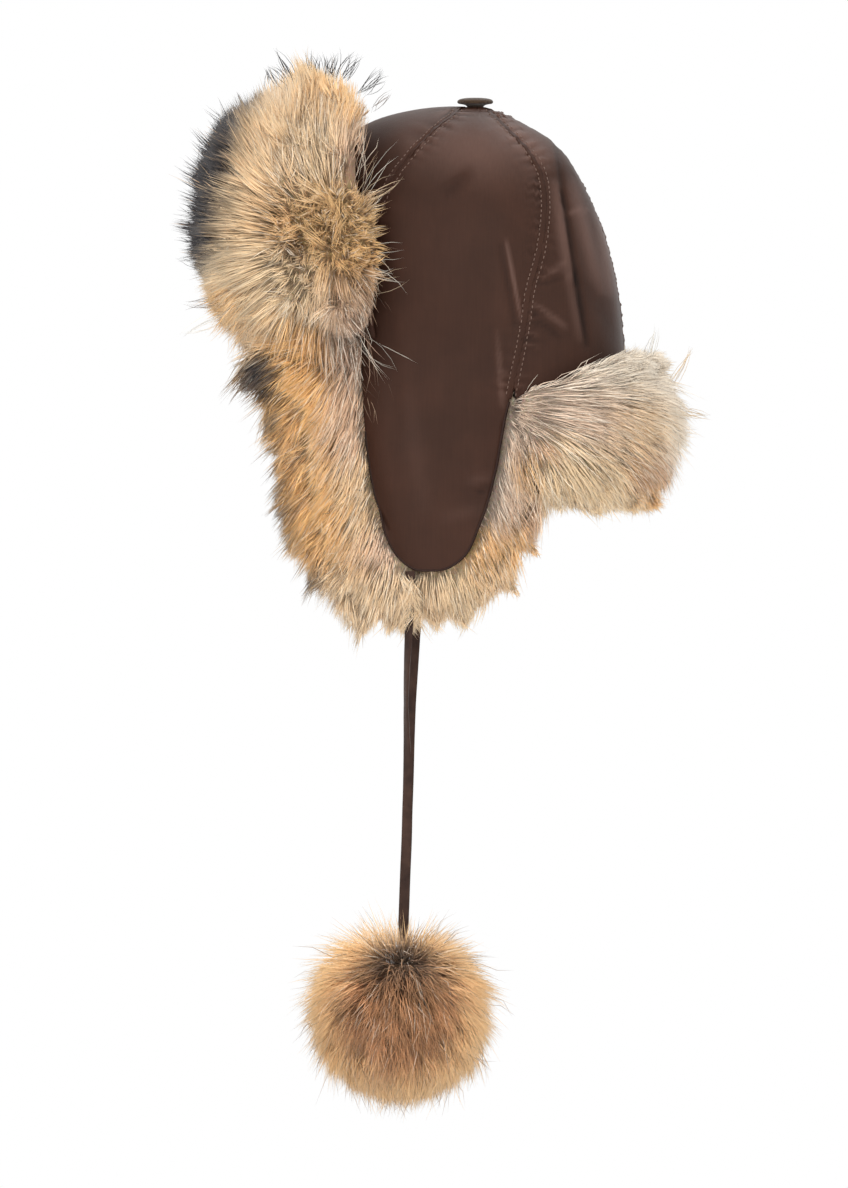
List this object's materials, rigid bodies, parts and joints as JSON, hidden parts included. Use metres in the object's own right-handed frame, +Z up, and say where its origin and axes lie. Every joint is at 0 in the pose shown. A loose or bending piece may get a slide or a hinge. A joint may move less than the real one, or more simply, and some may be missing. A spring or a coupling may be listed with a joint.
{
  "type": "fur trapper hat",
  "caption": "Winter trapper hat with padded nylon crown, turned-up fur peak and neck flap, fur-lined ear flaps and hanging ties with fur pompoms.",
  "frame": {"origin": "middle of the head opening, level with the headband, where a head holds the hat", "axes": "+Z up through the crown, -Y to the front of the hat (the peak), +X to the wearer's left"},
  "size_m": [0.2925, 0.3848, 0.767],
  "materials": {
    "nylon_shell": "satin dark brown nylon over thin padding",
    "fur": "deep long-haired fur, tan to golden with brown and black tips and taupe roots",
    "button_cloth": "coarse dark brown cloth over a button",
    "tie_cloth": "folded and stitched dark brown nylon",
    "thread": "grey thread binding"
  },
  "bodies": {
    "root": {"front_panel": "nylon_shell", "side_panel_left": "nylon_shell", "side_panel_right": "nylon_shell", "back_panel_left": "nylon_shell", "back_panel_right": "nylon_shell", "crown_button": "button_cloth", "peak_panel": "nylon_shell", "peak_fur": "fur", "ear_flap_fur_left": "fur", "ear_flap_fur_right": "fur", "neck_panel": "nylon_shell", "neck_fur": "fur", "tie_left": "tie_cloth", "tie_right": "tie_cloth", "pompom_loop_left": "thread", "pompom_loop_right": "thread", "pompom_left": "fur", "pompom_right": "fur"}
  },
  "joints": []
}
